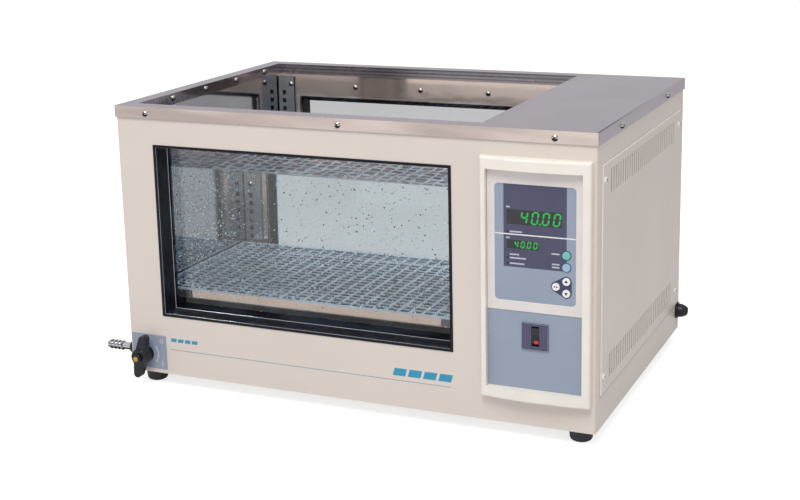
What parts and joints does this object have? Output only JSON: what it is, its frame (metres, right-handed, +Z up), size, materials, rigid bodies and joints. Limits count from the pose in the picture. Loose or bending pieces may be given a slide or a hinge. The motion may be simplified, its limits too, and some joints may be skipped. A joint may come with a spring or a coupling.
{
  "type": "windowed water bath",
  "caption": "Stainless laboratory water bath with front and rear windows, a lift-out perforated shelf, a digital controller and a drain valve.",
  "frame": {"origin": "middle of the footprint of the whole object, at the height of the surface that its feet stand on", "axes": "+X to the right along the front, +Y from the front face to the back, +Z up"},
  "size_m": [0.591, 0.3864, 0.317],
  "materials": {
    "cream_paint": "smooth semi-gloss cream enamel",
    "base_paint": "satin enamel",
    "deck_steel": "brushed stainless",
    "tank_steel": "bright rolled stainless",
    "post_steel": "bright stainless",
    "shelf_steel": "bright perforated stainless",
    "screw_steel": "polished stainless",
    "window_glass": "clear tempered glass",
    "black_rubber": "smooth black rubber",
    "foot_rubber": "matt black rubber",
    "bezel_plastic": "fine-grained cream white",
    "frame_plastic": "fine-grained light grey",
    "face_print": "satin grey-blue",
    "label_print": "satin grey-blue sheet",
    "screen": "dark tinted screen",
    "readout": "unlit display",
    "mode_key": "aqua",
    "start_key": "light blue",
    "white_key": "white",
    "circuit_board": "solder-masked board",
    "switch_plastic": "dark plastic",
    "rocker_plastic": "black with a red lower half",
    "valve_brass": "turned brass",
    "valve_black": "black moulding",
    "pale_metal": "pale plated metal",
    "nozzle_chrome": "chrome plated",
    "pipe_steel": "drawn stainless tube",
    "heater_sheath": "dull stainless sheath",
    "pump_plastic": "black engineering plastic",
    "motor_paint": "dark enamel",
    "bracket_steel": "zinc grey",
    "gland_black": "black nylon"
  },
  "bodies": {
    "cabinet": {"front_panel": "cream_paint", "rear_panel": "cream_paint", "left_side_panel": "cream_paint", "right_side_frame": "cream_paint", "base_panel": "base_paint", "deck_cover": "deck_steel", "service_panel": "cream_paint", "feet": "foot_rubber", "foot_screws": "screw_steel", "tank_tub": "tank_steel", "tank_front_wall": "tank_steel", "tank_rear_wall": "tank_steel", "front_window_glass": "window_glass", "rear_window_glass": "window_glass", "front_window_trim": "black_rubber", "rear_window_trim": "black_rubber", "front_window_seal": "black_rubber", "rear_window_seal": "black_rubber", "shelf_post_rear_left": "post_steel", "shelf_post_rear_right": "post_steel", "shelf_post_front_left": "post_steel", "shelf_post_front_right": "post_steel", "shelf_clips": "post_steel", "deck_screws": "screw_steel", "tank_screws": "screw_steel", "service_panel_screws": "cream_paint", "console_bezel": "bezel_plastic", "controller_frame": "frame_plastic", "controller_face": "face_print", "display_screen": "screen", "display_modules": "readout", "controller_board": "circuit_board", "switch_panel": "face_print", "power_switch_body": "switch_plastic", "drain_label_plate": "label_print", "drain_valve_body": "valve_brass", "drain_valve_bush": "valve_black", "drain_valve_nut": "pale_metal", "hose_nozzle": "nozzle_chrome", "nozzle_collar": "valve_black", "nozzle_washer": "pale_metal", "drain_pipe": "pipe_steel", "heater_loop": "heater_sheath", "temperature_sensor": "pipe_steel", "pump_housing": "pump_plastic", "pump_motor": "motor_paint", "pump_bracket": "bracket_steel", "power_board": "circuit_board", "cord_gland": "gland_black"},
    "drain_valve": {"drain_handle": "valve_black", "drain_stem": "valve_brass", "drain_handle_screw": "valve_brass"},
    "power_rocker": {"power_rocker": "rocker_plastic"},
    "mode_button": {"mode_button": "mode_key"},
    "start_button": {"start_button": "start_key"},
    "up_button": {"up_button": "white_key"},
    "down_button": {"down_button": "white_key"},
    "shift_button": {"shift_button": "white_key"},
    "shelf": {"perforated_shelf": "shelf_steel"},
    "pump_impeller": {"pump_impeller": "pump_plastic"}
  },
  "joints": [
    {"name": "drain_valve_turn", "type": "hinge", "parent": "cabinet", "child": "drain_valve", "pos_m": [-0.236, -0.1688, 0.0368], "axis": [0, 1, 0], "range_deg": [-12, 78]},
    {"name": "power_rocker_tip", "type": "hinge", "parent": "cabinet", "child": "power_rocker", "pos_m": [0.2217, -0.1668, 0.1104], "axis": [1, 0, 0], "range_deg": [0, 18]},
    {"name": "mode_press", "type": "slide", "parent": "cabinet", "child": "mode_button", "axis": [0, 1, 0], "range_m": [0, 0.001], "stiffness_N_per_m": 400},
    {"name": "start_press", "type": "slide", "parent": "cabinet", "child": "start_button", "axis": [0, 1, 0], "range_m": [0, 0.001], "stiffness_N_per_m": 400},
    {"name": "up_press", "type": "slide", "parent": "cabinet", "child": "up_button", "axis": [0, 1, 0], "range_m": [0, 0.001], "stiffness_N_per_m": 400},
    {"name": "down_press", "type": "slide", "parent": "cabinet", "child": "down_button", "axis": [0, 1, 0], "range_m": [0, 0.001], "stiffness_N_per_m": 400},
    {"name": "shift_press", "type": "slide", "parent": "cabinet", "child": "shift_button", "axis": [0, 1, 0], "range_m": [0, 0.001], "stiffness_N_per_m": 400},
    {"name": "shelf_lift", "type": "slide", "parent": "cabinet", "child": "shelf", "axis": [0, 0, 1], "range_m": [0, 0.24]},
    {"name": "pump_spin", "type": "hinge", "parent": "cabinet", "child": "pump_impeller", "pos_m": [0.1735, 0.0912, 0.081], "axis": [1, 0, 0], "continuous": true}
  ]
}
